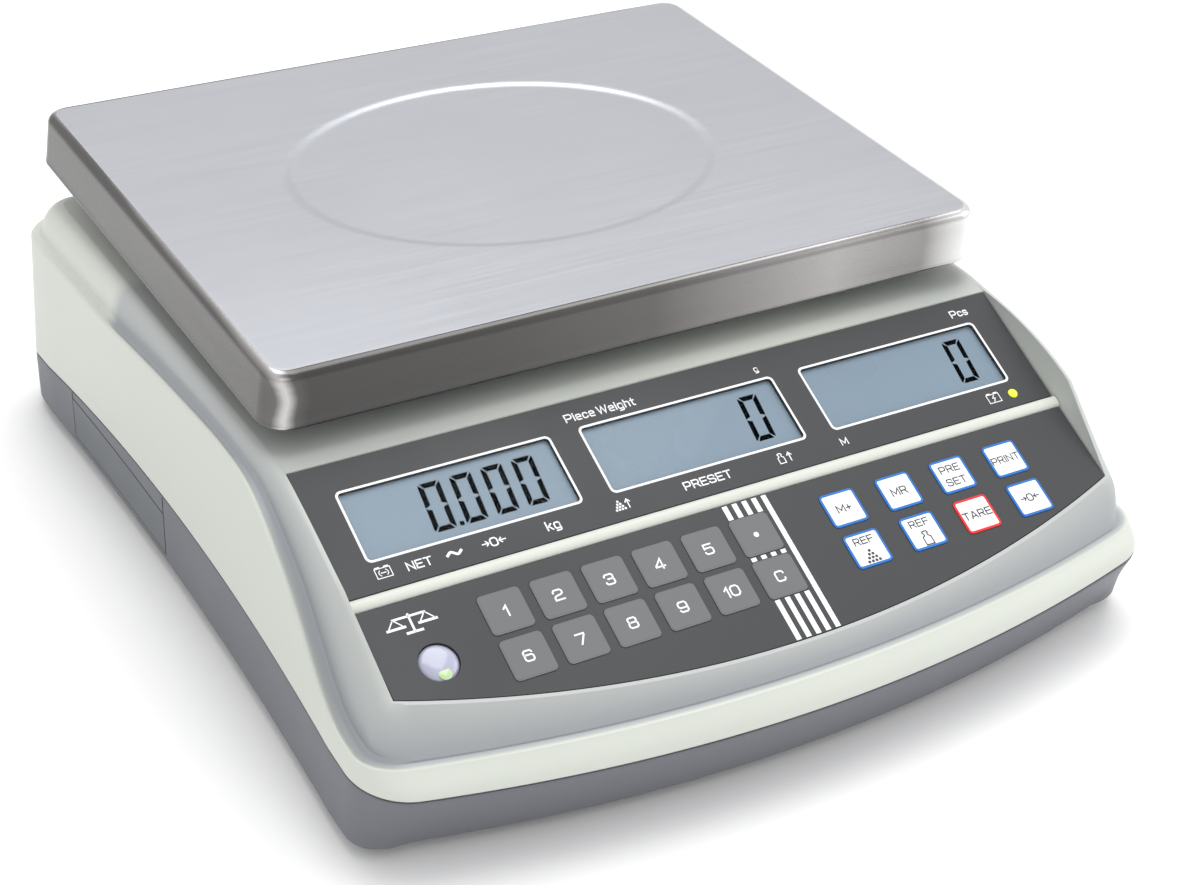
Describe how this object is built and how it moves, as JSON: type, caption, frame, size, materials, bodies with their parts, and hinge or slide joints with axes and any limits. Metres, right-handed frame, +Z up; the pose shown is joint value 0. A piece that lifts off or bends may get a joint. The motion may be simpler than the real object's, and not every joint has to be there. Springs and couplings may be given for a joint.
{
  "type": "counting scale",
  "caption": "Bench counting scale: sloping console with display windows and membrane keys in front of a rectangular steel weighing plate, on screw-adjusted levelling feet.",
  "frame": {"origin": "centre of the bounding box's underside, on the table", "axes": "+X to the right seen from the front, +Y to the back, +Z up; the console faces -Y"},
  "size_m": [0.32, 0.35, 0.125],
  "materials": {
    "stainless": "brushed",
    "cast_alloy": "cast",
    "cell_alloy": "machined",
    "zinc_steel": "zinc plated",
    "pad_rubber": "matt",
    "upper_plastic": "fine grain",
    "lower_plastic": "fine grain",
    "film_grey": "satin film",
    "window_clear": "clear",
    "display_glass": "glossy",
    "board_green": "solder resist",
    "cable_grey": "matt",
    "cable_black": "matt",
    "battery_case": "matt",
    "black_plastic": "satin",
    "number_key": "satin film",
    "function_key": "satin film",
    "vial_clear": "clear, green liquid",
    "lamp_green": "translucent"
  },
  "bodies": {
    "housing": {"lower_housing": "lower_plastic", "upper_housing": "upper_plastic", "housing_screws": "zinc_steel", "side_cover": "lower_plastic", "display_overlay": "film_grey", "keypad_overlay": "film_grey", "display_windows": "window_clear", "lcd_weight": "display_glass", "lcd_piece_weight": "display_glass", "lcd_count": "display_glass", "panel_board": "board_green", "main_board": "board_green", "ribbon_cable": "cable_grey", "load_cell_cable": "cable_black", "battery": "battery_case", "power_inlet": "black_plastic", "serial_port": "zinc_steel", "switch_body": "black_plastic", "bubble_level": "vial_clear", "charge_lamp": "lamp_green", "chassis": "cast_alloy", "chassis_screws": "zinc_steel", "overload_stop": "zinc_steel", "load_cell": "cell_alloy", "cell_base_screws": "zinc_steel"},
    "pan": {"pan_support": "cast_alloy", "pan_pads": "pad_rubber", "upper_spacer": "zinc_steel", "cell_top_screws": "zinc_steel"},
    "plate": {"weighing_plate": "stainless"},
    "door": {"battery_door": "lower_plastic"},
    "rocker": {"power_rocker": "black_plastic"},
    "key_1": {"key_1": "number_key"},
    "key_2": {"key_2": "number_key"},
    "key_3": {"key_3": "number_key"},
    "key_4": {"key_4": "number_key"},
    "key_5": {"key_5": "number_key"},
    "key_point": {"key_point": "number_key"},
    "key_6": {"key_6": "number_key"},
    "key_7": {"key_7": "number_key"},
    "key_8": {"key_8": "number_key"},
    "key_9": {"key_9": "number_key"},
    "key_10": {"key_10": "number_key"},
    "key_clear": {"key_clear": "number_key"},
    "key_memory_add": {"key_memory_add": "function_key"},
    "key_memory_recall": {"key_memory_recall": "function_key"},
    "key_preset": {"key_preset": "function_key"},
    "key_print": {"key_print": "function_key"},
    "key_ref_count": {"key_ref_count": "function_key"},
    "key_ref_weight": {"key_ref_weight": "function_key"},
    "key_tare": {"key_tare": "function_key"},
    "key_zero": {"key_zero": "function_key"},
    "pad_front_left": {"foot_pad_front_left": "pad_rubber"},
    "screw_front_left": {"foot_screw_front_left": "zinc_steel"},
    "pad_front_right": {"foot_pad_front_right": "pad_rubber"},
    "screw_front_right": {"foot_screw_front_right": "zinc_steel"},
    "pad_rear_left": {"foot_pad_rear_left": "pad_rubber"},
    "screw_rear_left": {"foot_screw_rear_left": "zinc_steel"},
    "pad_rear_right": {"foot_pad_rear_right": "pad_rubber"},
    "screw_rear_right": {"foot_screw_rear_right": "zinc_steel"}
  },
  "joints": [
    {"name": "battery_door_slide", "type": "slide", "parent": "housing", "child": "door", "axis": [0, 1, 0], "range_m": [0, 0.075]},
    {"name": "lift_off_plate", "type": "slide", "parent": "pan", "child": "plate", "axis": [0, 0, 1], "range_m": [0, 0.04]},
    {"name": "pan_deflection", "type": "slide", "parent": "housing", "child": "pan", "axis": [0, 0, 1], "range_m": [-0.0004, 0], "stiffness_N_per_m": 370000, "springref_m": 0.00005, "deforming": ["load_cell"]},
    {"name": "power_rocker_tip", "type": "hinge", "parent": "housing", "child": "rocker", "pos_m": [0.1515, -0.0446, 0.023], "axis": [0, 0, 1], "range_deg": [0, 16]},
    {"name": "press_key_1", "type": "slide", "parent": "housing", "child": "key_1", "axis": [0, -0.4083, 0.9128], "range_m": [-0.0004, 0], "stiffness_N_per_m": 2000},
    {"name": "press_key_2", "type": "slide", "parent": "housing", "child": "key_2", "axis": [0, -0.4083, 0.9128], "range_m": [-0.0004, 0], "stiffness_N_per_m": 2000},
    {"name": "press_key_3", "type": "slide", "parent": "housing", "child": "key_3", "axis": [0, -0.4083, 0.9128], "range_m": [-0.0004, 0], "stiffness_N_per_m": 2000},
    {"name": "press_key_4", "type": "slide", "parent": "housing", "child": "key_4", "axis": [0, -0.4083, 0.9128], "range_m": [-0.0004, 0], "stiffness_N_per_m": 2000},
    {"name": "press_key_5", "type": "slide", "parent": "housing", "child": "key_5", "axis": [0, -0.4083, 0.9128], "range_m": [-0.0004, 0], "stiffness_N_per_m": 2000},
    {"name": "press_key_point", "type": "slide", "parent": "housing", "child": "key_point", "axis": [0, -0.4083, 0.9128], "range_m": [-0.0004, 0], "stiffness_N_per_m": 2000},
    {"name": "press_key_6", "type": "slide", "parent": "housing", "child": "key_6", "axis": [0, -0.4083, 0.9128], "range_m": [-0.0004, 0], "stiffness_N_per_m": 2000},
    {"name": "press_key_7", "type": "slide", "parent": "housing", "child": "key_7", "axis": [0, -0.4083, 0.9128], "range_m": [-0.0004, 0], "stiffness_N_per_m": 2000},
    {"name": "press_key_8", "type": "slide", "parent": "housing", "child": "key_8", "axis": [0, -0.4083, 0.9128], "range_m": [-0.0004, 0], "stiffness_N_per_m": 2000},
    {"name": "press_key_9", "type": "slide", "parent": "housing", "child": "key_9", "axis": [0, -0.4083, 0.9128], "range_m": [-0.0004, 0], "stiffness_N_per_m": 2000},
    {"name": "press_key_10", "type": "slide", "parent": "housing", "child": "key_10", "axis": [0, -0.4083, 0.9128], "range_m": [-0.0004, 0], "stiffness_N_per_m": 2000},
    {"name": "press_key_clear", "type": "slide", "parent": "housing", "child": "key_clear", "axis": [0, -0.4083, 0.9128], "range_m": [-0.0004, 0], "stiffness_N_per_m": 2000},
    {"name": "press_key_memory_add", "type": "slide", "parent": "housing", "child": "key_memory_add", "axis": [0, -0.4083, 0.9128], "range_m": [-0.0004, 0], "stiffness_N_per_m": 2000},
    {"name": "press_key_memory_recall", "type": "slide", "parent": "housing", "child": "key_memory_recall", "axis": [0, -0.4083, 0.9128], "range_m": [-0.0004, 0], "stiffness_N_per_m": 2000},
    {"name": "press_key_preset", "type": "slide", "parent": "housing", "child": "key_preset", "axis": [0, -0.4083, 0.9128], "range_m": [-0.0004, 0], "stiffness_N_per_m": 2000},
    {"name": "press_key_print", "type": "slide", "parent": "housing", "child": "key_print", "axis": [0, -0.4083, 0.9128], "range_m": [-0.0004, 0], "stiffness_N_per_m": 2000},
    {"name": "press_key_ref_count", "type": "slide", "parent": "housing", "child": "key_ref_count", "axis": [0, -0.4083, 0.9128], "range_m": [-0.0004, 0], "stiffness_N_per_m": 2000},
    {"name": "press_key_ref_weight", "type": "slide", "parent": "housing", "child": "key_ref_weight", "axis": [0, -0.4083, 0.9128], "range_m": [-0.0004, 0], "stiffness_N_per_m": 2000},
    {"name": "press_key_tare", "type": "slide", "parent": "housing", "child": "key_tare", "axis": [0, -0.4083, 0.9128], "range_m": [-0.0004, 0], "stiffness_N_per_m": 2000},
    {"name": "press_key_zero", "type": "slide", "parent": "housing", "child": "key_zero", "axis": [0, -0.4083, 0.9128], "range_m": [-0.0004, 0], "stiffness_N_per_m": 2000},
    {"name": "raise_foot_front_left", "type": "slide", "parent": "housing", "child": "pad_front_left", "axis": [0, 0, 1], "range_m": [0, 0.0035]},
    {"name": "screw_foot_front_left", "type": "hinge", "parent": "pad_front_left", "child": "screw_front_left", "pos_m": [-0.128, -0.12, 0.005], "axis": [0, 0, 1], "range_deg": [0, 1260]},
    {"name": "raise_foot_front_right", "type": "slide", "parent": "housing", "child": "pad_front_right", "axis": [0, 0, 1], "range_m": [0, 0.0035]},
    {"name": "screw_foot_front_right", "type": "hinge", "parent": "pad_front_right", "child": "screw_front_right", "pos_m": [0.128, -0.12, 0.005], "axis": [0, 0, 1], "range_deg": [0, 1260]},
    {"name": "raise_foot_rear_left", "type": "slide", "parent": "housing", "child": "pad_rear_left", "axis": [0, 0, 1], "range_m": [0, 0.0035]},
    {"name": "screw_foot_rear_left", "type": "hinge", "parent": "pad_rear_left", "child": "screw_rear_left", "pos_m": [-0.128, 0.15, 0.005], "axis": [0, 0, 1], "range_deg": [0, 1260]},
    {"name": "raise_foot_rear_right", "type": "slide", "parent": "housing", "child": "pad_rear_right", "axis": [0, 0, 1], "range_m": [0, 0.0035]},
    {"name": "screw_foot_rear_right", "type": "hinge", "parent": "pad_rear_right", "child": "screw_rear_right", "pos_m": [0.128, 0.15, 0.005], "axis": [0, 0, 1], "range_deg": [0, 1260]}
  ],
  "couplings": [
    {"joint": "screw_foot_front_left", "follows": "raise_foot_front_left", "rad_per_m": 6283.2},
    {"joint": "screw_foot_front_right", "follows": "raise_foot_front_right", "rad_per_m": 6283.2},
    {"joint": "screw_foot_rear_left", "follows": "raise_foot_rear_left", "rad_per_m": 6283.2},
    {"joint": "screw_foot_rear_right", "follows": "raise_foot_rear_right", "rad_per_m": 6283.2}
  ]
}
